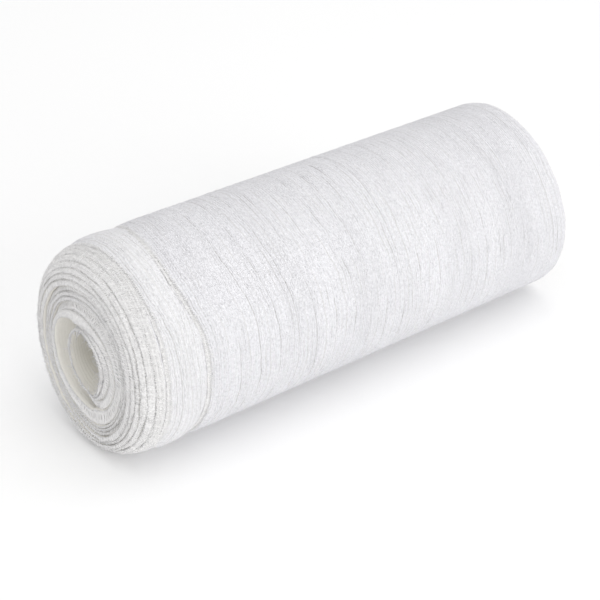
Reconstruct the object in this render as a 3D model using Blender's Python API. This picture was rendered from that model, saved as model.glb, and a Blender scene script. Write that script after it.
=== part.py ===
"""A white elastic bandage, rolled up and lying on its side.

The roll's axis lies along X, its near end points to -X and it rests on a flat strip at Z = 0. The
origin is at the middle of the base. One cloth is wound round itself, so a single number, the
winding, says where along the cloth a point is: it counts full turns from the inner end in the
hollow middle to the cut end of the last wrap, and the cloth's near edge is one unbroken line. At
the near end the inner turns stand out of the last wrap and their edges make a loosened, stepped
face.
"""

import math
from collections import namedtuple

import bmesh
import bpy

MM = 0.001

# Driving dimensions, in millimetres. A place is a distance along the axis, measured from the plane
# of the near end's innermost edge and growing towards the far end.
WRAP_RADIUS = 23.05  # outside of the last wrap, at its cut end
WRAP_GROWTH = 0.7  # what one turn of pressed cloth adds to the radius
AXIS_HEIGHT = 21.8  # less than the radius, so the cloth is pressed flat where it rests
FAR_PLACE = 116.9  # the far end's face
CORE_RADIUS = 5.9  # the hollow middle, away from the near end
CORE_STEP = 0.9  # the step that the cloth's inner end makes in the hollow
RIM_INSET = 0.38  # from the outside of a pressed turn to the middle of its edge
RIM_HALF = 0.26  # half the width of a turn's rolled edge

# The winding counts whole turns. Angles are in degrees: 0 is the front of the roll, towards -Y,
# and 90 is its top.
COLUMNS = 40  # columns of faces in one turn
START_ANGLE = -72.0
FULL_TURNS = 14
END_COLUMN = 25  # the cut end lies this many columns past the start angle
LAST_WINDING = FULL_TURNS + END_COLUMN / COLUMNS
DIRECTIONS = 8

# The near end's face: a row for each turn that is given, and a column for each eighth of a turn
# from the start angle. The turns between two rows are spread between them.
Compass = namedtuple("Compass", "under front_low front front_high top back_high back back_low")
EDGE_RADIUS = {
    0: Compass(7.6, 6.3, 6.0, 5.8, 5.9, 5.7, 6.1, 7.6),
    1: Compass(8.8, 7.6, 7.2, 6.8, 6.9, 6.8, 7.3, 8.9),
    2: Compass(10.7, 9.6, 8.4, 8.0, 9.2, 11.0, 12.9, 14.2),
    3: Compass(14.4, 11.9, 11.2, 10.7, 11.2, 12.6, 14.0, 15.0),
    6: Compass(16.6, 15.0, 14.4, 14.5, 14.7, 15.6, 16.4, 16.9),
    7: Compass(17.9, 16.7, 15.8, 15.9, 16.1, 17.1, 17.8, 18.1),
}
EDGE_DEPTH = {
    0: Compass(0.4, 0.1, 0.0, 0.0, 0.2, 0.0, 0.0, 0.3),
    1: Compass(0.9, 1.3, 1.3, 1.0, 1.5, 2.6, 3.2, 1.8),
    2: Compass(1.0, 1.2, 1.2, 0.4, -0.1, -0.3, -0.2, 0.3),
    3: Compass(0.8, 1.4, 1.5, 1.2, 0.7, 0.6, 0.9, 0.9),
    6: Compass(0.9, 1.9, 2.2, 1.7, 1.0, 0.8, 0.7, 0.6),
    7: Compass(0.5, 0.9, 1.2, 1.0, 0.3, 0.1, 0.2, 0.3),
    13: Compass(3.8, 6.0, 6.8, 6.2, 4.9, 3.2, 2.5, 2.9),
}
SHOULDER_TURN = 7  # from here outwards the edges step back over the shoulder
SHOULDER_BEND = 2.0
OUTER_TURN = 13  # from here on the cloth lies on the outside of the roll

# The near end is out of round: it swells towards its top back and its front foot, and the swelling
# fades out between two places. It leans back at its top and hangs a little lower than the wrap.
NEAR_SWELL = {0: Compass(0.52, 0.8, -0.5, -0.2, 0.6, 0.8, 0.35, 0.2)}
SWELL_FADE = (11.0, 18.0)
NEAR_LEAN = 0.084
NEAR_SAG = 0.35
NEAR_REACH = 14.0

# Grooves between the turns of the near face. A wide gap makes a deep one, up to a limit, and a
# deeper one parts the loose inner turns from the pressed outer ones.
GROOVE_DEPTH = 0.35
GROOVE_SLOPE = 0.75
GROOVE_LIMIT = 4.6
LOOSE_TURN = 6
LOOSE_DEPTH = 1.2

# The last wrap's edge runs along the seam, and crosses over to it from the shoulder in this part
# of a turn. At the seam the wrap is pressed down, over a short reach, and no ring of points comes
# nearer to the edge than the clearance.
SEAM_PLACE = {0: Compass(13.9, 15.2, 16.0, 14.0, 15.3, 18.5, 18.0, 15.5)}
CROSSING = 0.42
SEAM_PRESSED = 0.25
SEAM_REACH = 4.0
SEAM_CLEAR = 0.8

# Rings of points round the body, and its crinkles. A crest lies on every second ring.
ZONE_RINGS = (5.6, 7.3, 8.9, 10.5, 12.1, 13.5, 15.0, 17.0)
BODY_START = 20.4
BODY_RINGS = 48
FAR_SHOULDER = 2.1
BODY_END = FAR_PLACE - FAR_SHOULDER
RING_STEP = (BODY_END - BODY_START) / (BODY_RINGS - 1)
RIB_HEIGHT = 0.17
RIB_WANDER = 1.1
LUMP_HEIGHT = 0.17

# The far end: a rounded shoulder, and an even spiral over a shallow dish. Its face leans a little.
FAR_RADIUS = 20.9
FAR_ROUNDING = (30.0, 60.0)
FAR_LEAN_ACROSS = 0.061
FAR_LEAN_UP = -0.112
FAR_REACH = 30.0
DISH_DEPTH = 3.4
FAR_GROOVE = 0.55
CORE_RINGS = 4

CLOTH_WHITE = (0.83, 0.83, 0.84, 1.0)


def smooth(t):
    """0 below 0, 1 above 1, and a soft rise between them."""
    t = min(max(t, 0.0), 1.0)
    return t * t * (3 - 2 * t)


def mix(a, b, share):
    return a + (b - a) * share


def angle_at(winding):
    """The angle round the axis, in degrees, of a place on the wound cloth."""
    return START_ANGLE + 360.0 * winding


def wrap_radius(winding):
    """The outside of the pressed outer turns, which grows along the cloth."""
    return WRAP_RADIUS - WRAP_GROWTH * (LAST_WINDING - winding)


def table_value(table, index):
    """A table's value at a whole number of eighths of a turn. Past the last row it stays."""
    turn, direction = divmod(max(index, 0), DIRECTIONS)
    below = max(t for t in table if t <= turn)
    above = min((t for t in table if t > turn), default=below)
    share = 0.0 if above == below else (turn - below) / (above - below)
    if below == SHOULDER_TURN and table is EDGE_DEPTH:
        share **= SHOULDER_BEND
    return mix(table[below][direction], table[above][direction], share)


def along_table(table, winding):
    """A smooth curve through the table's values, read at any place along the cloth."""
    index = math.floor(winding * DIRECTIONS)
    t = winding * DIRECTIONS - index
    a, b, c, d = (table_value(table, index + k) for k in (-1, 0, 1, 2))
    bow = (2 * a - 5 * b + 4 * c - d) * t * t + (3 * b - a - 3 * c + d) * t**3
    return b + 0.5 * ((c - a) * t + bow)


def round_table(table, angle):
    """A smooth curve through a table of one row, read at any angle."""
    return along_table(table, 1 + (angle - START_ANGLE) / 360.0 % 1.0)


def swell(angle, place):
    """How far the near end swells out of round."""
    fade = 1 - smooth((place - SWELL_FADE[0]) / (SWELL_FADE[1] - SWELL_FADE[0]))
    return fade * round_table(NEAR_SWELL, angle)


def wander(angle, place):
    """How far the ribs stray along the axis, which dies out towards both ends."""
    turned = math.radians(angle)
    ends = smooth((place - BODY_START) / 12.0) * smooth((BODY_END - place) / 12.0)
    return RIB_WANDER * ends * (math.sin(turned + 0.7) + 0.5 * math.sin(2 * turned + place / 17.0))


def crinkle(angle, place):
    """The height of the soft ribs round the roll and of the broad lumps under them."""
    turned = math.radians(angle)
    ends = smooth((place - 3.0) / 7.0) * smooth((FAR_PLACE - 2.0 - place) / 6.0)
    wave = math.cos(math.pi * (place + wander(angle, place) - BODY_START) / RING_STEP)
    height = RIB_HEIGHT * (1 + 0.45 * math.sin(place / 9.0 + 2.0 * math.cos(turned)))
    lump = math.sin(place / 13.0 + 1.3 + math.sin(turned)) * math.cos(turned - 0.6)
    return ends * (height * wave + LUMP_HEIGHT * lump)


def outer_edge_radius(winding, place):
    """The middle of the edge of a turn that lies on the outside of the roll."""
    angle = angle_at(winding)
    return wrap_radius(winding) - RIM_INSET + swell(angle, place) + crinkle(angle, place)


EDGE_RADIUS[OUTER_TURN] = Compass(
    *(outer_edge_radius(OUTER_TURN + d / DIRECTIONS, 0.0) for d in range(DIRECTIONS))
)


def edge(winding):
    """The middle of the cloth's near edge: its place and its radius."""
    angle = angle_at(winding)
    crossed = smooth((winding - (LAST_WINDING - 1)) / CROSSING)
    place = mix(along_table(EDGE_DEPTH, winding), round_table(SEAM_PLACE, angle), crossed)
    if winding < OUTER_TURN:
        return place, along_table(EDGE_RADIUS, winding)
    return place, outer_edge_radius(winding, place)


def rim(winding):
    """The edge's two corners, inside and outside, drawn together where the turns are close."""
    place, radius = edge(winding)
    room_in = radius - edge(winding - 1)[1] if winding >= 1 else 1.0
    room_out = edge(winding + 1)[1] - radius if winding <= LAST_WINDING - 1 else 1.0
    inner = min(RIM_HALF, 0.38 * room_in)
    outer = min(RIM_HALF, 0.38 * room_out)
    return (place + 0.05, radius - inner), (place + 0.1, radius + outer)


def zone_radius(winding, place):
    """The outside of the turn under the last wrap, from the shoulder to the seam."""
    start, edge_radius = edge(winding - 1)
    angle = angle_at(winding)
    full = wrap_radius(winding - 1) + swell(angle, place) + crinkle(angle, place)
    return mix(edge_radius + RIM_HALF, full, smooth((place - start) / 4.0))


def body_radius(winding, place):
    """The outside of the last wrap, past its edge."""
    angle = angle_at(winding)
    pressed = SEAM_PRESSED * (1 - smooth((place - edge(winding)[0]) / SEAM_REACH))
    return wrap_radius(winding) - pressed + swell(angle, place) + crinkle(angle, place)


def groove(winding):
    """The bottom of the groove between the turn at this winding and the next one out."""
    place, radius = rim(winding)[1]
    next_place, next_radius = rim(winding + 1)[0]
    gap = max(next_radius - radius, 0.0)
    depth = min(GROOVE_DEPTH + GROOVE_SLOPE * gap, GROOVE_LIMIT)
    if LOOSE_TURN <= winding < LOOSE_TURN + 1:
        depth += LOOSE_DEPTH
    if winding < LAST_WINDING - 2:
        return max(place, next_place) + depth, radius + 0.35 * gap
    # Under the last wrap the groove becomes the foot of its edge. At the cut end it stays above
    # the turn below, whose outside goes on past it.
    opened = smooth((next_place - place) / 3.0)
    lift = 0.08 if winding + 1 > LAST_WINDING - 0.001 else -0.05
    foot = min(zone_radius(winding + 1, next_place) + lift, next_radius)
    bottom = mix(max(place, next_place) + depth, next_place - 0.1, opened)
    return bottom, mix(radius + 0.35 * gap, foot, opened)


def far_edge(winding):
    """The middle of the cloth's far edge: its place and its radius."""
    outermost = FAR_RADIUS - 0.5 * WRAP_GROWTH * (LAST_WINDING - winding)
    radius = mix(CORE_RADIUS + RIM_HALF, outermost, winding / LAST_WINDING)
    return FAR_PLACE - DISH_DEPTH * (1 - (radius / FAR_RADIUS) ** 2), radius


def far_groove(winding):
    """The groove between the far edges of this turn and of the one inside it."""
    place, radius = far_edge(winding)
    inside_place, inside_radius = far_edge(winding - 1)
    depth = FAR_GROOVE * smooth((LAST_WINDING - winding) / 0.1)
    return min(place, inside_place) - depth, mix(radius, inside_radius, 0.5)


def core_wall(winding, share):
    """The wall of the hollow. A share of 0 is at its near end and 1 at its far end."""
    near_place, near_radius = rim(winding)[0]
    far_place, far_radius = far_edge(winding)
    ends = mix(near_radius, far_radius - RIM_HALF, share)
    middle = CORE_RADIUS + CORE_STEP * winding
    return mix(near_place, far_place, share), mix(ends, middle, math.sin(math.pi * share))


def position(place, radius, angle):
    """A point of the roll in millimetres, its X still measured from the near end."""
    turned = math.radians(angle)
    across, up = -radius * math.cos(turned), radius * math.sin(turned)
    near = 1 - smooth(place / NEAR_REACH)
    far = smooth((place - FAR_PLACE + FAR_REACH) / FAR_REACH)
    lean = NEAR_LEAN * up * near + (FAR_LEAN_ACROSS * across + FAR_LEAN_UP * up) * far
    sag = NEAR_SAG * (1 - min(max(place / NEAR_REACH, 0.0), 1.0))
    along = place + lean * radius / WRAP_RADIUS
    return along, across, max(AXIS_HEIGHT + up - sag, 0.0)


class Roll:
    """The roll's points and faces. Columns of points are joined to each other round the spiral.

    A column is a closed line of points in one half plane through the axis, cut into named rows that
    share their end points: over the near face from turn to turn, along the zone up to the seam,
    over the last wrap's lip, along the body, in over the far face and back through the core.
    """

    def __init__(self):
        self.points = []
        self.faces = []
        self.numbers = {}

    def column(self, number, past_end):
        """A column's rows. Each is a list of (point number, key), and keys rise along a row.

        number runs from 0 to COLUMNS, where the last column stands in the first one's half plane,
        a turn further out, and shares most of its points. past_end is true from the cut end on,
        where the last wrap is missing.
        """
        angle = START_ANGLE + 360.0 * number / COLUMNS
        turned, half_plane = divmod(number, COLUMNS)
        turns = FULL_TURNS if past_end else FULL_TURNS + 1
        windings = [k + number / COLUMNS for k in range(turns)]
        last = windings[-1]

        def ring(kind, index, spot, key=None):
            name = half_plane, kind, index
            if name not in self.numbers:
                self.numbers[name] = len(self.points)
                self.points.append(position(*spot, angle))
            return self.numbers[name], spot[0] if key is None else key

        def turn(kind, k, spot, key=None):
            return ring(kind, k + turned, spot, key)

        rows = {}
        for k, winding in enumerate(windings[:-1]):
            inner, outer = rim(winding)
            row = [turn("inner", k, inner, 0), turn("outer", k, outer, 1)]
            if k < turns - 2:
                row.append(turn("groove", k, groove(winding), 2))
                row.append(turn("inner", k + 1, rim(winding + 1)[0], 3))
            rows["face", k] = row

        shoulder = rim(last - 1)[1]
        inner, outer = rim(last)
        seam = edge(last)[0]
        under = [i for i, p in enumerate(ZONE_RINGS) if shoulder[0] + SEAM_CLEAR < p < seam - SEAM_CLEAR]
        over = [i for i, p in enumerate(ZONE_RINGS) if p > seam + SEAM_CLEAR]
        rows["zone"] = [turn("outer", turns - 2, shoulder)]
        rows["zone"] += [ring("zone", i, (ZONE_RINGS[i], zone_radius(last, ZONE_RINGS[i]))) for i in under]
        rows["zone"].append(turn("groove", turns - 2, groove(last - 1)))
        rows["lip"] = [
            turn("groove", turns - 2, groove(last - 1), 0),
            turn("inner", turns - 1, inner, 1),
            turn("outer", turns - 1, outer, 2),
        ]

        body = [turn("outer", turns - 1, outer)]
        body += [ring("zone", i, (ZONE_RINGS[i], body_radius(last, ZONE_RINGS[i]))) for i in over]
        kind = "body"
        if past_end and number == END_COLUMN:
            kind = "bared"
            foot = groove(last)[0]
            body.append(ring(kind, -1, (foot, body_radius(last, foot))))
        for i in range(BODY_RINGS):
            place = BODY_START + i * RING_STEP
            place -= wander(angle, place)
            body.append(ring(kind, i, (place, body_radius(last, place))))
        far_place, far_radius = far_edge(last)
        outside = body_radius(last, BODY_END)
        for i, bend in enumerate(math.radians(b) for b in FAR_ROUNDING):
            place = mix(BODY_END, far_place, math.sin(bend))
            radius = mix(far_radius, outside, math.cos(bend))
            body.append(ring(kind, BODY_RINGS + i, (place, radius), BODY_END + 1 + i))
        rows["body"] = body

        far = [(body[-1][0], 0)]
        for k in reversed(range(turns)):
            far.append(turn("far", k, far_edge(windings[k]), len(far)))
            if k:
                far.append(turn("far groove", k, far_groove(windings[k]), len(far)))
        rows["far"] = far

        core = [(far[-1][0], 0)]
        for i in reversed(range(CORE_RINGS)):
            share = (i + 1) / (CORE_RINGS + 1)
            core.append(turn("core", i * COLUMNS, core_wall(windings[0], share), len(core)))
        core.append((rows["face", 0][0][0], len(core)))
        rows["core"] = core
        return rows

    def join(self, left, right):
        """Fills the strip between two rows with triangles, going on where the next key is lower."""
        i = j = 0
        while i < len(left) - 1 or j < len(right) - 1:
            next_left = left[i + 1][1] if i < len(left) - 1 else math.inf
            next_right = right[j + 1][1] if j < len(right) - 1 else math.inf
            if next_left <= next_right:
                face = left[i][0], left[i + 1][0], right[j][0]
                i += 1
            else:
                face = left[i][0], right[j + 1][0], right[j][0]
                j += 1
            if len(set(face)) == 3:
                self.faces.append(face)

    def join_columns(self, left, right):
        for name in left:
            self.join(left[name], right[name])

    def close_inner_end(self, first, wrapped):
        """The cloth's inner end: a ledge along the hollow, from the near face to the far one.

        The wall's first point sees into the groove between the edges, so it comes before them.
        """
        ledge = first["face", 0][::-1] + first["core"][::-1][1:] + first["far"][-2:-4:-1]
        ledge = [(number, key) for key, (number, _) in enumerate(ledge)]
        keys = [0, 0.5] + [4.5 + i for i in range(CORE_RINGS - 1)] + [len(ledge)]
        wall = [(number, key) for (number, _), key in zip(wrapped["core"][::-1], keys)]
        self.join(ledge, wall)

    def close_cut_end(self, covered, bared):
        """The cloth's cut end: a step along the outside of the roll."""
        foot = covered["zone"][-1][1]
        top = [covered["zone"][-2]]
        top += [(number, foot + 0.1 + 0.1 * k) for k, (number, _) in enumerate(covered["lip"])]
        top += covered["body"][1:]
        top += [(number, BODY_END + 3 + k) for k, (number, _) in enumerate(covered["far"][1:4])]
        start = [number for number, _ in bared["body"]].index(top[0][0])
        self.join(top, bared["body"][start:] + [(bared["far"][1][0], BODY_END + 5)])


def wound_cloth():
    """All points and faces of the roll, in millimetres."""
    roll = Roll()
    columns = [roll.column(number, False) for number in range(END_COLUMN + 1)]
    bared = [roll.column(number, True) for number in range(END_COLUMN, COLUMNS + 1)]
    for row in (columns, bared):
        for left, right in zip(row, row[1:]):
            roll.join_columns(left, right)
    roll.close_inner_end(columns[0], bared[-1])
    roll.close_cut_end(columns[-1], bared[0])
    return roll


def cloth_material():
    material = bpy.data.materials.new("white_elastic_cloth")
    material.use_nodes = True
    shader = material.node_tree.nodes["Principled BSDF"]
    shader.inputs["Base Color"].default_value = CLOTH_WHITE
    shader.inputs["Roughness"].default_value = 0.95
    shader.inputs["Metallic"].default_value = 0.0
    return material


def middle(values):
    return (min(values) + max(values)) / 2


def make_bandage_roll():
    roll = wound_cloth()
    along = middle([p[0] for p in roll.points])
    across = middle([p[1] for p in roll.points])
    shape = bmesh.new()
    corners = [shape.verts.new(((x - along) * MM, (y - across) * MM, z * MM)) for x, y, z in roll.points]
    for face in roll.faces:
        shape.faces.new([corners[number] for number in face])
    mesh = bpy.data.meshes.new("bandage_roll")
    shape.to_mesh(mesh)
    shape.free()
    mesh.shade_smooth()
    mesh.set_sharp_from_angle(angle=math.radians(50))
    mesh.materials.append(cloth_material())
    bandage = bpy.data.objects.new("bandage_roll", mesh)
    bpy.context.scene.collection.objects.link(bandage)


def main():
    for old in list(bpy.data.objects):
        bpy.data.objects.remove(old, do_unlink=True)
    make_bandage_roll()


main()
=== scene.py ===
"""A white elastic bandage, rolled up and lying on its side, on a plain white surface.

The cloth is one strip wound round itself, so a place on it is given by its winding, which counts
full turns from the inner end, and by how far it lies from the near one of its two woven edges. Its
section at each winding is carried round the roll's axis. All lengths here are millimetres until a
mesh is made.
"""

import math

import bpy
import numpy as np
from mathutils import Matrix, Vector


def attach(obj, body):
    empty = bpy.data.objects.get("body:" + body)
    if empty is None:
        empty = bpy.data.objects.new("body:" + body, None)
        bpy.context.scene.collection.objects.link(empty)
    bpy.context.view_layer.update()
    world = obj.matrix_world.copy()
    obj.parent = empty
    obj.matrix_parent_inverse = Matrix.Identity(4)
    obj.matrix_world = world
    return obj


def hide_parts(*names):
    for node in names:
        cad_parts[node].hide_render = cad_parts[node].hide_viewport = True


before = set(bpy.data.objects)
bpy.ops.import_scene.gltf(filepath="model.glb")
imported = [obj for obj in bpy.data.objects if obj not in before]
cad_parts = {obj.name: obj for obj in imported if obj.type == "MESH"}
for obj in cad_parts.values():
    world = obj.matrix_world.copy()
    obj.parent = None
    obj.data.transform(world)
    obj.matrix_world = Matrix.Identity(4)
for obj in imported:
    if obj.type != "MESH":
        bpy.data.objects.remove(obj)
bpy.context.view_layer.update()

MM = 0.001

# The roll's form. A place is a distance along the axis from the plane of the near end's innermost
# edge. Angles are in degrees, 0 at the front and 90 at the top.
WRAP_RADIUS = 23.05
WRAP_GROWTH = 0.7
AXIS_HEIGHT = 21.8
CORE_RADIUS = 5.9
START_ANGLE = -72.0
LAST_WINDING = 14.625
LAST_START = LAST_WINDING - 1
OUTER_TURN = 13
CLOTH_WIDTH = 101.0
GIRTH_RADIUS = 6.2
GIRTH_GROWTH = 1.16
ORIGIN_ALONG = 59.04
ORIGIN_ACROSS = -0.058

# The cloth's thickness, and the room that its turns have between them.
THICKNESS = 1.0
LAST_THICKNESS = 0.62
FAR_THICKNESS = 0.94
TURN_GAP = 0.03
EDGE_OVERLAP = 0.08
LOOSE_GAP = (0.3, 0.8)
LEAST_ROOM = 0.03
BARE_ROOM = 0.2
LAST_ROOM = 0.2
CORE_LOOSENESS = 0.2
OPEN_LENGTH = 4.0

# Pairs of windings between which one way of lying or looking gives way to another.
THINNING = (12.0, 12.6)
PACKING = (OUTER_TURN - 1, OUTER_TURN)
BARE_TURN = (12.5, 12.8)
TIGHTENING = (12.5, 12.9)
DIPPING = (12.7, 13.0)
LAST_TURN = (13.5, 13.7)
SUDDEN_CLOSING = (13.55, 13.95)
DIP_END = (LAST_START, LAST_START + 0.1)
LAST_OPENING = (LAST_START, LAST_START + 0.3)
SINKING = (9.5, 11.0)
HIDDEN_END = (12.5, 12.6)
CORD_START = (5.0, 8.0)
CORD_END = (13.4, 14.0)
ROWS_FADE = (13.5, 13.8)
PALING = (9.0, 12.0)
SHADE_EASE_END = (13.5, 13.6)

# The near end's face, a row for each turn that is given and a value for each eighth of a turn from
# the start angle.
EDGE_RADIUS = {
    0: (7.6, 6.3, 6.0, 5.8, 5.9, 5.7, 6.1, 7.6),
    1: (8.8, 7.6, 7.2, 6.8, 6.9, 6.8, 7.3, 8.9),
    2: (10.7, 9.6, 8.4, 8.0, 9.2, 11.0, 12.9, 14.2),
    3: (14.4, 11.9, 11.2, 10.7, 11.2, 12.6, 14.0, 15.0),
    6: (16.6, 15.0, 14.4, 14.5, 14.7, 15.6, 16.4, 16.9),
    7: (17.9, 16.7, 15.8, 15.9, 16.1, 17.1, 17.8, 18.1),
}
EDGE_DEPTH = {
    0: (0.4, 0.1, 0.0, 0.0, 0.2, 0.0, 0.0, 0.3),
    1: (0.9, 0.9, 0.6, 0.4, 0.8, 2.6, 3.2, 1.8),
    2: (1.0, 1.2, 1.2, 0.4, -0.1, -0.3, -0.2, 0.3),
    3: (0.8, 1.4, 1.5, 1.2, 0.7, 0.6, 0.9, 0.9),
    6: (0.9, 1.9, 2.2, 1.7, 1.0, 0.8, 0.7, 0.6),
    7: (0.5, 0.9, 1.2, 1.0, 0.3, 0.1, 0.2, 0.3),
    13: (3.8, 6.0, 6.8, 6.2, 4.9, 3.2, 2.5, 2.9),
}
TABLE_TURNS = 17
SHOULDER_TURN = 7
SHOULDER_BEND = 2.0
NEAR_SWELL = (0.52, 0.8, -0.5, -0.2, 0.6, 0.8, 0.35, 0.2)
SWELL_FADE = (11.0, 18.0)
NEAR_LEAN = 0.084
NEAR_SAG = 0.35
NEAR_REACH = 14.0
FLARE = 7.0
OUTER_FLARE = 4.6

# The last wrap's edge, which crosses to the seam. Its depth is 1 where it presses the turn beneath
# and 0 where it lies level with it.
SEAM_PLACE = (13.9, 15.2, 16.0, 14.0, 15.3, 18.5, 18.0, 15.5)
SEAM_DEPTH = (1.0, 1.0, 1.0, 0.7, 0.1, 0.1, 0.5, 0.9)
CROSSING = 0.42
EDGE_INSET = 0.5
SEAM_PULL = 0.8
LEVEL_PULL = 0.27
BARE_PULL = 0.5
SEAM_DIP = 0.6
LEVEL_RISE = 0.2
DIP_REACH = 1.6
SEAM_FLARE = 1.3

# The far end.
FAR_PLACE = 116.9
FAR_RADIUS = 20.9
FAR_CORE_RADIUS = 6.16
FAR_LEAN = (0.061, -0.112)
FAR_REACH = 30.0
DISH_DEPTH = 3.4
LEAST_CURL = 0.8
CURL_GROWTH = 1.1

# Tables by winding: a row of windings and a row of values, with straight lines between them.
RIM_ROUNDING = ((3.0, 5.0, 9.5, 11.0, 12.4, 12.8), (0.35, 0.75, 0.8, 0.65, 0.65, 0.85))
RIM_DENT = ((2.5, 2.8, 3.5, 3.9), (0.0, 0.5, 0.5, 0.0))
FLUFF_THICKNESS = (
    (0.9, 1.05, 1.5, 1.65, 1.8, 2.0, 2.5, 2.62, 2.85, 3.0, 3.3, 3.6),
    (0.85, 1.3, 1.3, 0.85, 0.85, 1.9, 1.9, 1.0, 2.3, 3.4, 2.8, 1.9),
)
GROOVE_DEPTH = ((3.5, 4.5, 9.5, 11.0), (0.0, 0.5, 0.5, 0.05))
# The rims' painted tone by winding: below 0 they are painted lighter, with less painted yarn shade and
# weaker grain.
EDGE_TINT = ((3.0, 4.5, 12.5), (-0.6, -0.2, -0.25))
LOOP_LOOSENESS = ((1.9, 2.0, 2.6, 3.0), (1.0, 0.5, 0.5, 1.0))

# The grooves beside the edges of the middle turns, deepest at this angle.
GROOVE_ANGLE = 20.0
GROOVE_WIDTH = 0.45

# The rims: the angles of their points from inside to outside, how round they are, and how far the
# near one's outer side leads.
RIM_BENDS = (-75.0, -33.0, 0.0, 33.0, 65.0)
RIM_DISTANCE = 0.2
INNER_ROUNDING = 0.1
DENT_SPREAD = 25.0
STEEPEST_LEAD = 1.2
LEAD_SHARE = 0.8
LEAD_REACH = 4.0

# The cloth's relief: ribs over most of it, fine woven rows and a cord at its near edge.
RIB_PITCH = 1.2
RIB_DEPTH = 0.17
RIB_SHARPNESS = 1.6
RIB_STRENGTH = 0.42
RIB_SWING = 0.2
FIRM_STRENGTH = 0.75
FIRM_BAND = (5.5, 8.5)
PUFF_HEIGHT = 0.04
BARE_CALM = 0.3
FIRM_CALM = 0.5
HIDDEN_CALM = 0.1
WOVEN_BAND = (1.9, 2.7)
ROW_PITCH = 0.66
ROW_HEIGHT = 0.04
ROW_SHADE = 0.3
FADED_ROWS = 0.4
NEAR_TAPER = 0.7
FAR_TAPER = 1.2
CORD_HEIGHT = 0.26
CORD_PLACE = 0.6
CORD_WIDTH = 0.5
CORD_SINK = 0.03

# Where and how much painted warm shade the cloth has, 1 inside the roll. Below 0 a place is painted
# lighter, with less painted yarn shade.
RIM_WARMTH = 0.85
WARMING_REACH = 6.0
PALE_WARMTH = 0.4
TINT_BAND = (0.8, 2.8)
# On the turn before the seam the painted yarn shade is eased by this much, which paints that turn
# lighter.
BARE_SHADE_EASE = 0.13
FAR_LOOP_WARMTH = 0.3

# Noise in layers. Each has its height, its lengths in two directions and a number of its own.
NEAR_PLACE_WAVES = ((0.2, 5.0, 1.0, 11), (0.1, 1.6, 1.0, 12))
NEAR_RADIUS_WAVES = ((0.05, 3.5, 1.0, 13),)
FAR_PLACE_WAVES = ((0.15, 4.0, 1.0, 15),)
FAR_RADIUS_WAVES = ((0.05, 3.0, 1.0, 16),)
RIB_STRAY = ((0.8, 9.0, 24.0, 21), (0.14, 2.5, 6.0, 22), (0.09, 1.5, 1.9, 27))
RIB_PATCHES = ((0.35, 7.0, 15.0, 33),)
VALLEY_BREAKS = ((0.55, 4.0, 1.0, 23),)
PUFFS = ((1.0, 0.5, 0.8, 25), (0.6, 0.4, 2.5, 26))
CUT_WAVES = ((0.9, 1.7, 1.0, 31),)
CUT_LENGTH = 0.012

# The flat strip that the roll lies on: points nearer the axis than this radius stay above the base
# by a share of the difference.
PRESSED_RADIUS = 22.62
PRESSED_SHARE = 0.3

# The whipping's loops. Round the rim a loop has several points, each given by its angle and by how
# far it lies off the cloth.
NEAR_LOOPS = 2800
FAR_LOOPS = 1500
LOOP_WIDTH = 0.13
LOOP_REACH = 1.2
LOOP_ROOT = -0.16
LOOP_FRONT = 0.6
LOOP_LIFT = 0.04
LOOP_RIM = ((62.0, 0.06), (22.0, 0.08), (-22.0, 0.06), (-60.0, 0.0), (-75.0, -0.25))
LOOP_TAPER = (0.3, 1.0, 1.0, 1.0, 1.0, 0.9, 0.3)
LOOP_SLANT = 0.6
LOOP_JITTER = 0.3
LOOP_SPREAD = 0.6
LOOP_MARGIN = 0.8
LOOP_HOLLOW = 0.08
LOOP_SEED = 41
LENGTH_SAMPLES = 3000

# The loose fibres in groups: how many, their first and last winding, where they start, how much
# they lean along the axis and rise from it, their length and their width.
FIBRES = (
    (2200, 0.0, LAST_WINDING, "near edge", (-0.5, 0.25), 0.8, 0.03),
    (700, 0.0, 3.0, "near edge", (-0.15, -0.45), 0.6, 0.07),
    (350, 0.0, LAST_WINDING, "far edge", (0.55, 0.2), 0.9, 0.03),
    (120, 0.0, 1.2, "near edge", (-0.35, -0.9), 1.7, 0.055),
    (1500, LAST_START, LAST_WINDING, "outside", (0.0, 0.28), 1.3, 0.022),
    (60, LAST_WINDING - 0.003, LAST_WINDING, "cut end", (0.0, 0.1), 2.6, 0.07),
)
FIBRE_TAPER = (1.0, 1.0, 0.9, 0.7, 0.35)
FIBRE_ROOT = 0.03
FIBRE_SEED = 51

# The strip's four lengths and their grids: where the last wrap's back ends, how many columns each
# length has along its windings, and the distances of the outside's rows.
BACK_END = 13.95
INNER_COLUMNS = 1960
BARE_COLUMNS = 300
BACK_COLUMNS = 90
FRONT_COLUMNS = 180
FIRST_ROW = 0.55
NEAR_ROWS = ((1.0, 0.2), (2.5, 0.3), (5.0, 0.8), (9.0, 2.0))
FAR_ROWS = ((1.0, 0.22), (2.5, 0.5), (6.0, 1.2))
MIDDLE_ROWS = (20.0, 50.0, 80.0)
BARE_ROWS = (17.0, 0.17)
WRAP_ROWS = (CLOTH_WIDTH - FIRST_ROW, 0.2)

# The cotton's colours, among them a grey for its grain with painted shade between the yarns, a grey
# for painted shade in its grooves and the cream of painted warm shade inside the roll, and its grain:
# the bump's height in metres, and how many radians of the yarns' sine there are to a millimetre.
SHADED_WHITE = (0.915, 0.909, 0.945, 1.0)
BRIGHT_WHITE = (0.94, 0.935, 0.962, 1.0)
GRAIN_AND_SHADE_GREY = (0.775, 0.77, 0.797, 1.0)
GROOVE_SHADE_GREY = (0.66, 0.645, 0.62, 1.0)
EDGE_TONE = (1.0, 0.997, 0.962, 1.0)
PAINTED_WARM_SHADE = (0.91, 0.888, 0.825, 1.0)
GRAIN_HEIGHT = 0.00018
YARN_RATE = 11.8
LINE_SHARPNESS = 14.0

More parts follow.
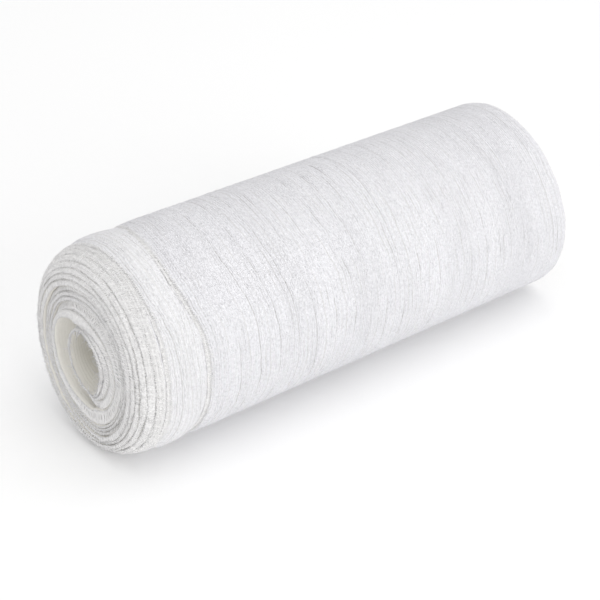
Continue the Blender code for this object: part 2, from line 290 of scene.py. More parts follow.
# The photograph's camera, found from the roll's outline.
CAMERA_AZIMUTH = -37.5
CAMERA_ELEVATION = 30.93
CAMERA_TARGET = (58.48, 0.0, AXIS_HEIGHT)
CAMERA_DISTANCE = 352.3
CAMERA_FOCAL = 1594.3
CAMERA_SHIFT = (-12.94, -33.11)
IMAGE_SIDE = 600
SENSOR_WIDTH = 36


def rise(x, low, high):
    """0 up to the low, 1 from the high, between them three times the square less twice the cube."""
    t = np.clip((x - low) / (high - low), 0.0, 1.0)
    return t * t * (3 - 2 * t)


def fall(x, low, high):
    """1 up to the low and 0 from the high, on the same curve."""
    return 1 - rise(x, low, high)


def mix(a, b, share):
    return a + (b - a) * share


def bell(x, width):
    return np.exp(-((x / width) ** 2))


def angle_at(winding):
    return START_ANGLE + 360.0 * winding


def by_winding(winding, table):
    return np.interp(winding, *table)


def bent_through(samples, x):
    """A smooth cubic curve through evenly spaced samples, which passes through each one."""
    i = np.clip(np.floor(x).astype(int), 1, len(samples) - 3)
    t = x - i
    a, b, c, d = (samples[i + k] for k in (-1, 0, 1, 2))
    bow = (2 * a - 5 * b + 4 * c - d) * t**2 + (3 * b - a - 3 * c + d) * t**3
    return b + 0.5 * ((c - a) * t + bow)


def round_table(values, angle):
    """One value for each eighth of a turn, read at any angle."""
    x = (angle - START_ANGLE) / 45.0 % 8.0
    return bent_through(np.tile(values, 3), x + 8)


def lattice(i, j, seed):
    """A repeatable number from -1 to 1 for each pair of whole numbers."""
    mask = 0xFFFFFFFF
    h = (i * 374761393 + j * 668265263 + seed * 2246822519) & mask
    h = ((h ^ (h >> 13)) * 1274126177) & mask
    return ((h ^ (h >> 16)) & 0xFFFF) / 32767.5 - 1


def grain(u, v, seed):
    """Soft noise from -1 to 1: numbers on a square lattice, blended between its corners."""
    u, v = np.broadcast_arrays(u, v)
    i, j = np.floor(u).astype(np.int64), np.floor(v).astype(np.int64)
    s, t = rise(u, i, i + 1), rise(v, j, j + 1)
    low = mix(lattice(i, j, seed), lattice(i + 1, j, seed), s)
    high = mix(lattice(i, j + 1, seed), lattice(i + 1, j + 1, seed), s)
    return mix(low, high, t)


def noise(u, v, layers):
    """The sum of layers of soft noise, each stretched by its lengths and scaled by its height."""
    return sum(height * grain(u / wide, v / tall, seed) for height, wide, tall, seed in layers)


def wrap_radius(winding):
    """The outside of the pressed outer turns."""
    return WRAP_RADIUS - WRAP_GROWTH * (LAST_WINDING - winding)


def swell(angle, place):
    """The near end's swelling, which fades out behind the seam."""
    return fall(place, *SWELL_FADE) * round_table(NEAR_SWELL, angle)


def outer_edge_radius(winding, place):
    """The middle of the near edge in the outer turns, which follow the swelling."""
    return wrap_radius(winding) - EDGE_INSET + swell(angle_at(winding), place)


def spread_turns(table, bend):
    """The table's rows at every eighth of a turn, the turns between two rows spread evenly.

    Past the shoulder turn the share is raised to the power of the bend. Past the last row it is
    repeated.
    """
    turns = np.arange(float(TABLE_TURNS))
    outer = OUTER_TURN - SHOULDER_TURN
    past = np.clip((turns - SHOULDER_TURN) / outer, 0, 1)
    turns = np.where(turns > SHOULDER_TURN, SHOULDER_TURN + past**bend * outer, turns)
    rows = sorted(table)
    columns = [np.interp(turns, rows, [table[row][d] for row in rows]) for d in range(8)]
    return np.stack(columns, axis=1).ravel()


OUTER_EDGE = {OUTER_TURN: tuple(outer_edge_radius(OUTER_TURN + np.arange(8) / 8, 0.0))}
RADIUS_SAMPLES = spread_turns({**EDGE_RADIUS, **OUTER_EDGE}, 1.0)
DEPTH_SAMPLES = spread_turns(EDGE_DEPTH, SHOULDER_BEND)


def thickness(winding):
    """The cloth's thickness: the last turns are stretched and thinner."""
    return mix(THICKNESS, LAST_THICKNESS, rise(winding, *THINNING))


def cloth_length(winding):
    """How much cloth lies before a winding: the girth summed over a radius that grows evenly."""
    return 2 * math.pi * (GIRTH_RADIUS * winding + GIRTH_GROWTH / 2 * winding**2)


def near_edge(winding):
    """The place and the radius of the middle of the cloth's near edge.

    Both are read from the tables up to the outer turn. In the last turn the edge crosses to the
    seam. There, and on the turn before the seam, it is pulled in. Noise along the cloth gives it the
    small waves of loose cloth.
    """
    angle = angle_at(winding)
    crossed = rise(winding, LAST_START, LAST_START + CROSSING)
    place = mix(bent_through(DEPTH_SAMPLES, winding * 8), round_table(SEAM_PLACE, angle), crossed)
    table_radius = bent_through(RADIUS_SAMPLES, winding * 8)
    depth = round_table(SEAM_DEPTH, angle)
    pulled = crossed * (SEAM_PULL * depth + LEVEL_PULL * np.clip(1 - depth, 0, 1))
    outer_radius = outer_edge_radius(winding, place) - pulled
    radius = np.where(winding < OUTER_TURN, table_radius, outer_radius)
    radius = radius - BARE_PULL * rise(winding, *TIGHTENING) * (1 - crossed)
    along = cloth_length(winding)
    place = place + noise(along, winding, NEAR_PLACE_WAVES)
    return place, radius + noise(along, winding, NEAR_RADIUS_WAVES)


def far_edge(winding):
    """The place and the radius of the far edge's middle: an even spiral over a shallow dish."""
    outermost = FAR_RADIUS - WRAP_GROWTH / 2 * (LAST_WINDING - winding)
    radius = mix(FAR_CORE_RADIUS, outermost, winding / LAST_WINDING)
    along = cloth_length(winding)
    place = FAR_PLACE - DISH_DEPTH * (1 - (radius / FAR_RADIUS) ** 2)
    place = place + noise(along, winding, FAR_PLACE_WAVES)
    return place, radius + noise(along, winding, FAR_RADIUS_WAVES)


def packed_radius(winding, place):
    """The outside of a turn inside the roll: from the core it grows evenly to the outer turns."""
    first = CORE_RADIUS + THICKNESS
    inner = first + winding * (wrap_radius(OUTER_TURN) - first) / OUTER_TURN
    outer = wrap_radius(winding) + swell(angle_at(winding), place)
    return mix(inner, outer, rise(winding, *PACKING))


def far_curl(winding):
    """How long the far end's curl is, by how far in it goes."""
    stop, far_radius = far_edge(winding)
    return LEAST_CURL + CURL_GROWTH * (packed_radius(winding, stop) - far_radius)


def edge_outside(winding):
    """The outside's radius at the near edge.

    It is half the cloth's thickness out from the middle, or half the way to the next turn's edge
    where that is less. The turn before the seam has a share of that way, the last wrap a fixed room.
    """
    _, radius = near_edge(winding)
    _, next_radius = near_edge(np.minimum(winding, LAST_START) + 1)
    room = 0.5 * (next_radius - radius) * mix(1.0, BARE_ROOM, rise(winding, *BARE_TURN))
    room = mix(np.maximum(room, LEAST_ROOM), LAST_ROOM, rise(winding, *LAST_OPENING))
    return radius + np.minimum(thickness(winding) / 2, room)


def closed_down(winding, distance):
    """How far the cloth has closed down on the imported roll, from 0 at its near edge to 1.

    It closes over the flare's length. The last wrap closes by an exponential, most of it at once.
    """
    reach = mix(FLARE, OUTER_FLARE, rise(winding, *PACKING))
    sudden = 1 - np.exp(-np.maximum(distance, 0) / SEAM_FLARE)
    return mix(rise(distance, 0, reach), sudden, rise(winding, *SUDDEN_CLOSING))


def pressed_in(winding, place):
    """How far the next turn's edge presses the cloth in.

    The last wrap's edge leaves a dip that fades as an exponential to both sides, or a slight rise
    where it lies level. The edges of the middle turns leave grooves with the section of a bell.
    """
    angle = angle_at(winding)
    dip = mix(-LEVEL_RISE, SEAM_DIP, round_table(SEAM_DEPTH, angle)) * rise(winding, *DIPPING)
    dip = dip * np.exp(-np.abs(place - round_table(SEAM_PLACE, angle)) / DIP_REACH)
    next_start, _ = near_edge(np.minimum(winding, LAST_START) + 1)
    in_front = 0.5 + 0.5 * np.cos(np.radians(angle - GROOVE_ANGLE))
    groove = by_winding(winding, GROOVE_DEPTH) * in_front
    groove = groove * bell(place - next_start, GROOVE_WIDTH)
    return (dip + groove) * fall(winding, *DIP_END)


def outside(winding, place):
    """The outside's radius, without its crinkles, at any winding and place.

    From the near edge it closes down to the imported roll, less what presses it in, and near the far
    end it curls in on a quarter of an ellipse.
    """
    start, _ = near_edge(winding)
    closed = closed_down(winding, place - start)
    radius = mix(edge_outside(winding), packed_radius(winding, place), closed)
    radius = radius - pressed_in(winding, place)
    stop, far_radius = far_edge(winding)
    t = np.clip(1 + (place - stop) / far_curl(winding), 0, 1)
    drop = radius - (far_radius + FAR_THICKNESS / 2)
    return radius - drop * (1 - np.sqrt(np.maximum(1 - t**2, 0.0)))


def inside(winding, place):
    """The inside's radius: it lies on the turn beneath, or hangs free where there is room.

    Near the edge the cloth's fluff thickens it, which closes a narrow gap, and the edges of the
    outer turns sink a little into each other.
    """
    start, _ = near_edge(winding)
    stop, _ = far_edge(winding)
    curled = rise(place, stop - far_curl(winding), stop)
    opened = rise(place - start, 0, OPEN_LENGTH)
    fluffed = by_winding(winding, FLUFF_THICKNESS)
    fluffed = np.where(winding > LAST_START, LAST_THICKNESS, fluffed)
    thick = mix(mix(fluffed, thickness(winding), opened), FAR_THICKNESS, curled)
    free = outside(winding, place) - thick
    free = np.where(winding < 1, free + CORE_LOOSENESS * (1 - opened), free)
    between = mix(TURN_GAP, -EDGE_OVERLAP, rise(winding, *SINKING) * (1 - opened))
    beneath = outside(np.maximum(winding - 1, 0), place) + between
    gap = np.maximum(free - beneath, 0)
    return np.where(winding < 1, free, beneath + gap * rise(gap, *LOOSE_GAP))


def ribs(across, along, firm):
    """The cloth's crinkles: height, how deep in a groove a point lies, and how far a yarn strays.

    Ribs run along the cloth side by side, each the size of a sine between two sharp valleys, every
    second valley deeper. Noise strays their course, and each valley has its own noise that shuts it
    in places, but not where the cloth is firm. Puffs lie over all.
    """
    stray = noise(across, along, RIB_STRAY)
    course = (across + stray) / RIB_PITCH
    wave = np.abs(np.sin(math.pi * course))
    nearest = np.round(course)
    second = RIB_SWING * np.cos(math.pi * nearest)
    strength = RIB_STRENGTH + second + noise(across, along, RIB_PATCHES)
    strength = np.clip(strength + noise(along, nearest, VALLEY_BREAKS), 0, 1.1)
    strength = mix(strength, FIRM_STRENGTH + second, firm)
    height = -RIB_DEPTH * strength * (1 - wave) ** RIB_SHARPNESS
    height = height + PUFF_HEIGHT * noise(across, along, PUFFS)
    return height, np.clip(strength * (1 - wave), 0, 1), stray


def relief(winding, distance):
    """The outside's height over its plain form, how deep in a groove it lies, how its yarn strays.

    Ribs cover the cloth, whole on the last wrap, calmer on the turn before the seam and nearly flat
    inside the roll. At the near edge they give way to fine woven rows and the bell of a cord.
    """
    firm = fall(distance, *FIRM_BAND) * fall(winding, *LAST_TURN)
    height, hollow, stray = ribs(distance, cloth_length(winding), firm)
    calm = mix(BARE_CALM + FIRM_CALM * firm, 1.0, rise(winding, *LAST_TURN))
    height = height * mix(calm, HIDDEN_CALM, fall(winding, *HIDDEN_END))
    woven = fall(distance, *WOVEN_BAND)
    rows = np.cos(2 * math.pi * distance / ROW_PITCH)
    cord = CORD_HEIGHT * bell(distance - CORD_PLACE, CORD_WIDTH)
    cord = cord * rise(winding, *CORD_START) * fall(winding, *CORD_END) - CORD_SINK
    ends = rise(distance, 0, NEAR_TAPER) * fall(distance, CLOTH_WIDTH - FAR_TAPER, CLOTH_WIDTH)
    height = mix(height, ROW_HEIGHT * rows + cord, woven) * ends
    shade = ROW_SHADE * mix(1.0, FADED_ROWS, rise(winding, *ROWS_FADE))
    hollow = mix(hollow * calm, shade * (1 - rows), woven)
    return height, hollow, stray


def painted_shade_outside(winding, distance):
    """How much painted shade the outside has: painted warm shade in the gaps between the turns, below
    0 where it is painted lighter.

    It goes from the edge's tint to the gap's, which is paler in the outer turns. From the turn
    before the seam on it is 0, less a little on that turn itself, which is painted lighter.
    """
    gap = mix(1.0, PALE_WARMTH, rise(winding, *PALING))
    tint = mix(by_winding(winding, EDGE_TINT), gap, rise(distance, *TINT_BAND))
    bare = rise(winding, *BARE_TURN)
    return tint * (1 - bare) - BARE_SHADE_EASE * bare * fall(winding, *SHADE_EASE_END)


def position(place, radius, angle):
    """Points in metres: round the axis, leaning and sagging towards the ends, pressed on the base."""
    turned = np.radians(angle)
    across, up = -radius * np.cos(turned), radius * np.sin(turned)
    near = fall(place, 0, NEAR_REACH)
    far = rise(place, FAR_PLACE - FAR_REACH, FAR_PLACE)
    lean = NEAR_LEAN * up * near + (FAR_LEAN[0] * across + FAR_LEAN[1] * up) * far
    sag = NEAR_SAG * (1 - np.clip(place / NEAR_REACH, 0, 1))
    lowest = PRESSED_SHARE * np.maximum(PRESSED_RADIUS - radius, 0.0)
    height = np.maximum(AXIS_HEIGHT + up - sag, lowest)
    along = place + lean * radius / WRAP_RADIUS - ORIGIN_ALONG
    return np.stack([along, across - ORIGIN_ACROSS, height], axis=-1) * MM


def make_mesh(name, points, faces, ends, hollow, cloth, material):
    """A smooth piece from points and faces, with flat faces to close its ends.

    Each point also keeps how deep in a groove it lies, which sets the painted groove shade, and its
    place on the flat cloth with how much painted shade it has.
    """
    mesh = bpy.data.meshes.new(name)
    mesh.from_pydata(points.reshape(-1, 3).tolist(), [], faces + ends)
    mesh.attributes.new("hollow", "FLOAT", "POINT")
    mesh.attributes["hollow"].data.foreach_set("value", hollow.astype(np.float32).ravel())
    mesh.attributes.new("cloth", "FLOAT_VECTOR", "POINT")
    mesh.attributes["cloth"].data.foreach_set("vector", cloth.astype(np.float32).ravel())
    mesh.polygons.foreach_set("use_smooth", np.arange(len(mesh.polygons)) < len(faces))
    mesh.materials.append(material)
    mesh.update()
    piece = bpy.data.objects.new(name, mesh)
    bpy.context.scene.collection.objects.link(piece)
    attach(piece, "root")
    return piece


def rim_lead(winding):
    """How much further back the near rim's outer side lies than its middle.

    It follows the slope of the roll's end there, so that the rims stand on it like cords.
    """
    place, radius = near_edge(winding)
    place_before, radius_before = near_edge(np.maximum(winding - 1, 0))
    slope = (place - place_before) / np.maximum(radius - radius_before, 0.3)
    half = (outside(winding, place) - inside(winding, place)) / 2
    return np.clip(slope, 0, STEEPEST_LEAD) * LEAD_SHARE * half


def rim_point(winding, bend, far):
    """A point on the rounding at either edge, by its angle from inside to outside.

    The rounding is an ellipse's, much shallower on its inner side. In the turns beside the hollow
    the near rim's middle is dented by a bell.
    """
    turn = np.radians(bend)
    place = (far_edge(winding) if far else near_edge(winding))[0]
    lead = 0.0 if far else rim_lead(winding)
    low, high = inside(winding, place - lead), outside(winding, place + lead)
    rounding = np.where(turn < 0, INNER_ROUNDING, by_winding(winding, RIM_ROUNDING))
    back = rounding * (1 - np.cos(turn)) * (-1 if far else 1)
    if not far:
        back = back + by_winding(winding, RIM_DENT) * bell(bend, DENT_SPREAD)
    return place + back + lead * np.sin(turn), (low + high) / 2 + (high - low) / 2 * np.sin(turn)


def skin(winding, distance, outer):
    """A point of the cloth's outside or inside at a distance from its near edge.

    Returned are its place, its radius, how deep in a groove it lies, how far its yarn strays, and
    how much painted shade it has.
    """
    start, _ = near_edge(winding)
    stop, _ = far_edge(winding)
    lead = rim_lead(winding) * np.maximum(1 - distance / LEAD_REACH, 0) * (1 if outer else -1)
    place = start + distance * (stop - start) / CLOTH_WIDTH + lead
    if not outer:
        still = np.zeros(place.shape)
        # The inside has painted warm shade, a little less at the near rim.
        painted_shade = mix(RIM_WARMTH, 1.0, rise(distance, 0, WARMING_REACH))
        return place, inside(winding, place), still, still, painted_shade
    height, hollow, stray = relief(winding, distance)
    return place, outside(winding, place) + height, hollow, stray, painted_shade_outside(winding, distance)


def section(winding, outer, inner):
    """The cloth's closed section at each winding: all that a skin gives, and the distances.

    It goes round the near rim, out along the outside, round the far rim and back along the inside.
    The rims' innermost corners have the inside's painted warm shade.
    """
    bends = np.array(RIM_BENDS)[:, None]
    inner = inner[::-1]
    blank = np.zeros(bends.shape)
    # Painted warm shade at the rims' innermost corners. Elsewhere the rims' tint applies, which paints
    # them lighter where it is below 0.
    painted_shade = np.where(bends == RIM_BENDS[0], RIM_WARMTH, by_winding(winding, EDGE_TINT))
    parts = [
        (*rim_point(winding, bends, False), blank, blank, painted_shade),
        skin(winding, outer[:, None], True),
        (*rim_point(winding, bends[::-1], True), blank, blank, painted_shade[::-1]),
        skin(winding, inner[:, None], False),
    ]
    edge = RIM_DISTANCE * np.ones(len(bends))
    distances = np.concatenate([edge, outer, CLOTH_WIDTH - edge, inner])
    shape = (len(distances), len(winding))
    joined = [
        np.concatenate([np.broadcast_to(part[k], (len(part[1]), shape[1])) for part in parts])
        for k in range(5)
    ]
    return *joined, np.broadcast_to(distances[:, None], shape)


def strip(name, windings, outer, inner, material):
    """A length of the cloth: its section carried along the windings, and a flat face at each end.

    At the cut end noise moves the angle to and fro.
    """
    place, radius, hollow, stray, painted_shade, distance = section(windings, outer, inner)
    count, columns = place.shape
    cut = rise(windings, LAST_WINDING - CUT_LENGTH, LAST_WINDING)
    angle = angle_at(windings) + cut * noise(distance, 0.0, CUT_WAVES)
    points = position(place, radius, angle)
    along = np.broadcast_to(cloth_length(windings), place.shape)
    cloth = np.stack([distance + stray, along, painted_shade], axis=-1)
    number = np.arange(count * columns).reshape(count, columns)
    a, b = number[:, :-1], number[:, 1:]
    around = [a, np.roll(a, -1, axis=0), np.roll(b, -1, axis=0), b]
    faces = np.stack(around, axis=-1).reshape(-1, 4).tolist()
    ends = [number[::-1, 0].tolist(), number[:, -1].tolist()]
    return make_mesh(name, points, faces, ends, hollow, cloth, material)


def tubes(name, place, radius, angle, width, sides, hollow, painted_shade, material):
    """Fine closed tubes along many paths at once.

    Paths are rows of places, radii and angles, one column for each tube. Round every path point
    stands a ring whose plane is square to the path in the section's plane.
    """
    step_place, step_radius = np.gradient(place, axis=0), np.gradient(radius, axis=0)
    length = np.hypot(step_place, step_radius) + 1e-9
    out_place, out_radius = -step_radius / length, step_place / length
    turn = 2 * math.pi * (np.arange(sides) + 0.5)[:, None, None] / sides
    up, aside = width * np.cos(turn), width * np.sin(turn)
    points = position(
        place + up * out_place, radius + up * out_radius, angle + np.degrees(aside / radius)
    )
    rings, many = place.shape
    number = np.arange(sides * rings * many).reshape(sides, rings, many)
    a, b = number[:, :-1], number[:, 1:]
    around = [a, b, np.roll(b, -1, axis=0), np.roll(a, -1, axis=0)]
    faces = np.stack(around, axis=-1).reshape(-1, 4).tolist()
    ends = number[:, 0].T.tolist() + number[:, -1].T[:, ::-1].tolist()
    shape = (sides, rings, many)
    cloth = [np.broadcast_to(k, shape) for k in (place, angle / 3.0, painted_shade)]
    depth = np.full(shape, hollow)
    return make_mesh(name, points, faces, ends, depth, np.stack(cloth, axis=-1), material)


def edge_loops(name, far, material):
    """The thread whipped over one of the edges, one short loop after another.

    Each loop starts under the outside, goes round the rim a little above it and ends inside the
    rim's inner corner, slanting along the cloth. The loops lie flatter on the last two turns.
    """
    count = FAR_LOOPS if far else NEAR_LOOPS
    one = np.arange(count)
    jitter = LOOP_JITTER * lattice(one, 0, LOOP_SEED + far)
    samples = np.linspace(0, LAST_WINDING, LENGTH_SAMPLES)
    along = np.linspace(LOOP_MARGIN, cloth_length(LAST_WINDING) - LOOP_MARGIN, count)
    winding = np.interp(along + LOOP_SPREAD * jitter, cloth_length(samples), samples)
    reach = LOOP_REACH + 0.5 * lattice(one, 1, LOOP_SEED)
    height = 1 - 0.5 * rise(winding, *BARE_TURN) - 0.3 * rise(winding, *LAST_TURN)
    height = height * (1 + 0.4 * lattice(one, 3, LOOP_SEED)) * by_winding(winding, LOOP_LOOSENESS)
    places, radii = [], []
    for depth, lift in ((reach, LOOP_ROOT), (LOOP_FRONT, LOOP_LIFT * height)):
        distance = (CLOTH_WIDTH - depth if far else depth) + np.zeros(count)
        place, radius = skin(winding, distance, True)[:2]
        places.append(place)
        radii.append(radius + lift)
    for bend, lift in LOOP_RIM:
        place, radius = rim_point(winding, np.array(bend), far)
        turn = math.radians(bend)
        places.append(place + (1 if far else -1) * lift * height * math.cos(turn))
        radii.append(radius + lift * height * math.sin(turn))
    place, radius = np.array(places), np.array(radii)
    slant = np.linspace(-LOOP_SLANT, LOOP_SLANT, len(place))[:, None] * (1 + jitter)
    angle = angle_at(winding) + np.degrees(slant / radius)
    width = (LOOP_WIDTH + 0.04 * lattice(one, 2, LOOP_SEED)) * np.array(LOOP_TAPER)[:, None]
    painted_shade = FAR_LOOP_WARMTH if far else by_winding(winding, EDGE_TINT)
    return tubes(name, place, radius, angle, width, 4, LOOP_HOLLOW, painted_shade, material)


def lint(name, material):
    """Loose fibres: short hairs bent over at the edges, on the outside and at the cut end.

    Each follows a parabola: its place, radius and angle are a first and a second power of the way
    along it, added up.
    """
    t = np.linspace(0, 1, len(FIBRE_TAPER))[:, None]
    parts = []
    for seed, (count, low, high, spot, (lean, climb), length, width) in enumerate(FIBRES):
        one = np.arange(count)
        chance = [lattice(one, k, FIBRE_SEED + seed) for k in range(8)]
        winding = mix(low, high, 0.5 + 0.5 * chance[0])
        if spot in ("outside", "cut end"):
            distance = CLOTH_WIDTH * (0.5 + 0.49 * chance[1])
            place, radius = skin(winding, distance, True)[:2]
            radius = radius - FIBRE_ROOT
        else:
            place, radius = rim_point(winding, 40 * chance[1], spot == "far edge")
        reach = length * (0.65 + 0.35 * chance[2])
        onward = 1.0 if spot == "cut end" else 0.8 * chance[3]
        path_place = place + reach * (t * (lean + 0.35 * chance[4]) + t**2 * 0.5 * chance[5])
        path_radius = radius + reach * (t * climb * (1.3 + chance[6]) - t**2 * 0.8 * climb)
        aside = reach * (t * onward + t**2 * 0.5 * chance[7])
        path_angle = angle_at(winding) + np.degrees(aside / path_radius)
        parts.append((path_place, path_radius, path_angle, np.full(count, width)))
    place, radius, angle, width = (np.concatenate([p[k] for p in parts], axis=-1) for k in range(4))
    width = width * np.array(FIBRE_TAPER)[:, None]
    return tubes(name, place, radius, angle, width, 3, 0.0, 0.0, material)


def spaced(low, *stretches):
    """Distances from a first one: each stretch is its end and the step up to it."""
    found = []
    for high, step in stretches:
        found.append(np.linspace(low, high, max(round((high - low) / step), 1), endpoint=False))
        low = high
    return np.append(np.concatenate(found), low)


class Value:
    """A socket's number in a material. An expression on values adds the Math nodes for it."""

    def __init__(self, material, socket):
        self.material = material
        self.socket = socket

    def math(self, operation, *terms):
        return self.material.node(
            "ShaderNodeMath", {"operation": operation}, dict(enumerate(terms))
        )

    def __add__(self, other):
        return self.math("ADD", self, other)

    def __sub__(self, other):
        return self.math("SUBTRACT", self, other)

    def __rsub__(self, other):
        return self.math("SUBTRACT", other, self)

    def __mul__(self, other):
        return self.math("MULTIPLY", self, other)

    __radd__ = __add__
    __rmul__ = __mul__

    def sine(self):
        return self.math("SINE", self)

    def power(self, exponent):
        return self.math("POWER", self, exponent)

    def clamped(self):
        return self.material.node("ShaderNodeClamp", None, {0: self})


class Material:
    """A Principled material and the one way that its other nodes are added."""

    def __init__(self, name, roughness):
        self.data = bpy.data.materials.new(name)
        self.data.use_nodes = True
        self.tree = self.data.node_tree
        self.shader = self.tree.nodes["Principled BSDF"]
        self.shader.inputs["Roughness"].default_value = roughness

    def node(self, kind, settings=None, inputs=None, output=0):
        made = self.tree.nodes.new(kind)
        for key, value in (settings or {}).items():
            setattr(made, key, value)
        self.feed(made, inputs or {})
        return Value(self, made.outputs[output])

    def feed(self, made, inputs):
        for key, value in inputs.items():
            if isinstance(value, Value):
                self.tree.links.new(value.socket, made.inputs[key])
            else:
                made.inputs[key].default_value = value

    def blend(self, share, low, high, kind="MIX"):
        """A colour between two, by a share."""
        settings = {"data_type": "RGBA", "blend_type": kind}
        return self.node("ShaderNodeMix", settings, {0: share, 6: low, 7: high}, output=2)

    def noise(self, place, stretch, detail=2.0):
        """Noise over a vector that is stretched by three factors first."""
        there = self.node("ShaderNodeVectorMath", {"operation": "MULTIPLY"}, {0: place, 1: stretch})
        return self.node("ShaderNodeTexNoise", None, {"Vector": there, "Scale": 1.0, "Detail": detail})


def cotton():
    """White cotton with grey speckles, partly its grain and partly painted shade between the yarns,
    painted grey shade in its grooves and painted warm shade inside the roll.

    The grain is bump: yarns half a millimetre apart along the cloth, broken up by noise. It is
    plainer at the edges of the inner turns, which are painted lighter, and fades inside the roll.
    A fine line of painted grey shade runs down each groove.
    each groove.
    """
    cloth = Material("white_cotton_weave", 0.95)
    flat = cloth.node("ShaderNodeAttribute", {"attribute_name": "cloth"}, output="Vector")
    hollow = cloth.node("ShaderNodeAttribute", {"attribute_name": "hollow"}, output="Fac")
    across = cloth.node("ShaderNodeSeparateXYZ", None, {0: flat})
    painted_shade = cloth.node("ShaderNodeSeparateXYZ", None, {0: flat}, output=2)
    knots = cloth.noise(flat, (2.2, 1.5, 0.0))
    fuzz = cloth.noise(flat, (6.0, 4.5, 0.0), 3.0)
    patch = cloth.noise(flat, (0.12, 0.07, 0.0))
    yarn = (across * YARN_RATE + knots * 3.5).sine()
    wave = (across * (math.pi / RIB_PITCH)).sine()
    # A fine line of painted grey shade down each groove, by how deep in a groove the point lies.
    line = (1 - wave * wave).power(LINE_SHARPNESS) * hollow
    # Below 0 the painted tone eases the painted yarn shade and the grain, which paints the edges
    # lighter.
    lively = (1.0 + painted_shade).clamped()
    sunk = (yarn * 0.45 + knots * 1.8 + fuzz * 1.3 - line * 0.6) * (1.25 - painted_shade * 1.25).clamped()
    # Grey speckles: partly the grain's own tone, partly painted shade between the yarns, eased where
    # the edges are painted lighter.
    grain_and_shade = (2.08 - knots * 2.3 - fuzz * 1.4 - yarn * 0.14).clamped() * lively
    white = cloth.blend(patch, SHADED_WHITE, BRIGHT_WHITE)
    with_grain_and_shade = cloth.blend(grain_and_shade, white, GRAIN_AND_SHADE_GREY)
    grooved = cloth.blend((line * 0.75).clamped(), with_grain_and_shade, GROOVE_SHADE_GREY)
    toned = cloth.blend((painted_shade * painted_shade * 20.0).clamped(), grooved, EDGE_TONE, "MULTIPLY")
    # Painted warm shade inside the roll and in the gaps between the turns.
    colour = cloth.blend(painted_shade.clamped(), toned, PAINTED_WARM_SHADE)
    bump = {"Strength": 1.0, "Distance": GRAIN_HEIGHT, "Height": sunk * lively}
    normal = cloth.node("ShaderNodeBump", {"invert": True}, bump)
    cloth.feed(cloth.shader, {"Base Color": colour, "Normal": normal})
    return cloth.data


def make_cloth():
    """The cloth in four lengths, end to end, its two whipped edges and its lint.

    The lengths are the turns inside, the turn that shows before the seam, and the last wrap's back
    and front. Where a length is covered, its rows are few.
    """
    material = cotton()
    near = spaced(FIRST_ROW, *NEAR_ROWS)
    far = CLOTH_WIDTH - spaced(FIRST_ROW, *FAR_ROWS)[::-1]
    sparse = np.concatenate([near[::2], MIDDLE_ROWS, far[::2]])
    dense = np.concatenate([near, MIDDLE_ROWS, far])
    bare = np.concatenate([spaced(FIRST_ROW, BARE_ROWS), MIDDLE_ROWS, far])
    whole = spaced(FIRST_ROW, BARE_ROWS, WRAP_ROWS)
    windings = np.linspace(0, LAST_START - 1, INNER_COLUMNS)
    inner = strip("inner_turns", windings, dense, sparse, material)
    windings = np.linspace(LAST_START - 1, LAST_START, BARE_COLUMNS)
    under = strip("turn_before_seam", windings, bare, sparse, material)
    windings = np.linspace(LAST_START, BACK_END, BACK_COLUMNS)
    back = strip("last_wrap_back", windings, whole, sparse, material)
    windings = np.linspace(BACK_END, LAST_WINDING, FRONT_COLUMNS)
    front = strip("last_wrap_front", windings, whole, sparse, material)
    near_loops = edge_loops("near_edge_whipping", False, material)
    far_loops = edge_loops("far_edge_whipping", True, material)
    fluff = lint("lint", material)
    for piece in (inner, under, back, front, near_loops, far_loops, fluff):
        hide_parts("bandage_roll")


def plain_floor():
    """A wide white floor, a little bright of itself so that it reads as plain white."""
    side = 3.0
    mesh = bpy.data.meshes.new("floor")
    corners = [(-side, -side, 0), (side, -side, 0), (side, side, 0), (-side, side, 0)]
    mesh.from_pydata(corners, [], [(0, 1, 2, 3)])
    white = Material("white_floor", 0.9)
    white.shader.inputs["Base Color"].default_value = (0.91, 0.91, 0.91, 1)
    white.shader.inputs["Emission Color"].default_value = (1, 1, 1, 1)
    white.shader.inputs["Emission Strength"].default_value = 0.09
    mesh.materials.append(white.data)
    floor = bpy.data.objects.new("floor", mesh)
    bpy.context.scene.collection.objects.link(floor)


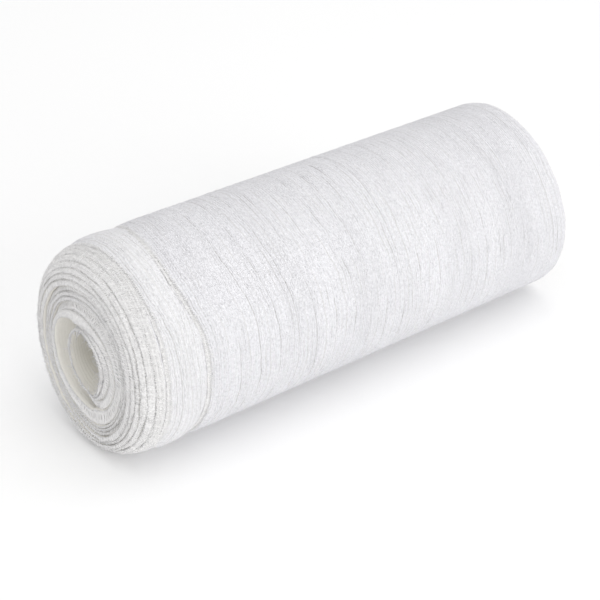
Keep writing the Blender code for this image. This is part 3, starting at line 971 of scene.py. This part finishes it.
def soft_light(name, towards, distance, size, power):
    """A square soft lamp that shines at the roll from the given direction."""
    lamp = bpy.data.lights.new(name, "AREA")
    lamp.shape = "SQUARE"
    lamp.size = size
    lamp.energy = power
    made = bpy.data.objects.new(name, lamp)
    direction = Vector(towards).normalized()
    made.location = direction * distance + Vector((0, 0, 0.02))
    made.rotation_euler = direction.to_track_quat("Z", "Y").to_euler()
    bpy.context.scene.collection.objects.link(made)


def studio():
    """White surroundings, a large soft lamp overhead and a soft lamp low in front."""
    world = bpy.data.worlds.new("studio")
    world.use_nodes = True
    world.node_tree.nodes["Background"].inputs["Color"].default_value = (1.0, 1.0, 1.0, 1)
    world.node_tree.nodes["Background"].inputs["Strength"].default_value = 0.7
    bpy.context.scene.world = world
    soft_light("top_lamp", (0.1, -0.15, 1.0), distance=1.0, size=1.0, power=3.6)
    soft_light("front_lamp", (0.08, -1.0, 0.26), distance=1.0, size=0.7, power=3.35)


def camera():
    """The camera at the photograph's angle, aimed at the target with the photograph's offset."""
    a, e = math.radians(CAMERA_AZIMUTH), math.radians(CAMERA_ELEVATION)
    back = Vector((math.sin(a) * math.cos(e), -math.cos(a) * math.cos(e), math.sin(e)))
    right = Vector((math.cos(a), math.sin(a), 0))
    x, y, z = CAMERA_TARGET
    target = Vector((x - ORIGIN_ALONG, y - ORIGIN_ACROSS, z)) * MM
    lens = bpy.data.cameras.new("camera")
    lens.sensor_width = SENSOR_WIDTH
    lens.lens = CAMERA_FOCAL / IMAGE_SIDE * SENSOR_WIDTH
    lens.shift_x, lens.shift_y = (shift / IMAGE_SIDE for shift in CAMERA_SHIFT)
    lens.clip_start, lens.clip_end = 0.01, 20
    made = bpy.data.objects.new("camera", lens)
    made.matrix_world = (
        Matrix.Translation(target + back * CAMERA_DISTANCE * MM)
        @ Matrix((right, back.cross(right), back)).transposed().to_4x4()
    )
    bpy.context.scene.collection.objects.link(made)
    bpy.context.scene.camera = made
    bpy.context.scene.view_settings.view_transform = "Standard"


make_cloth()
plain_floor()
studio()
camera()
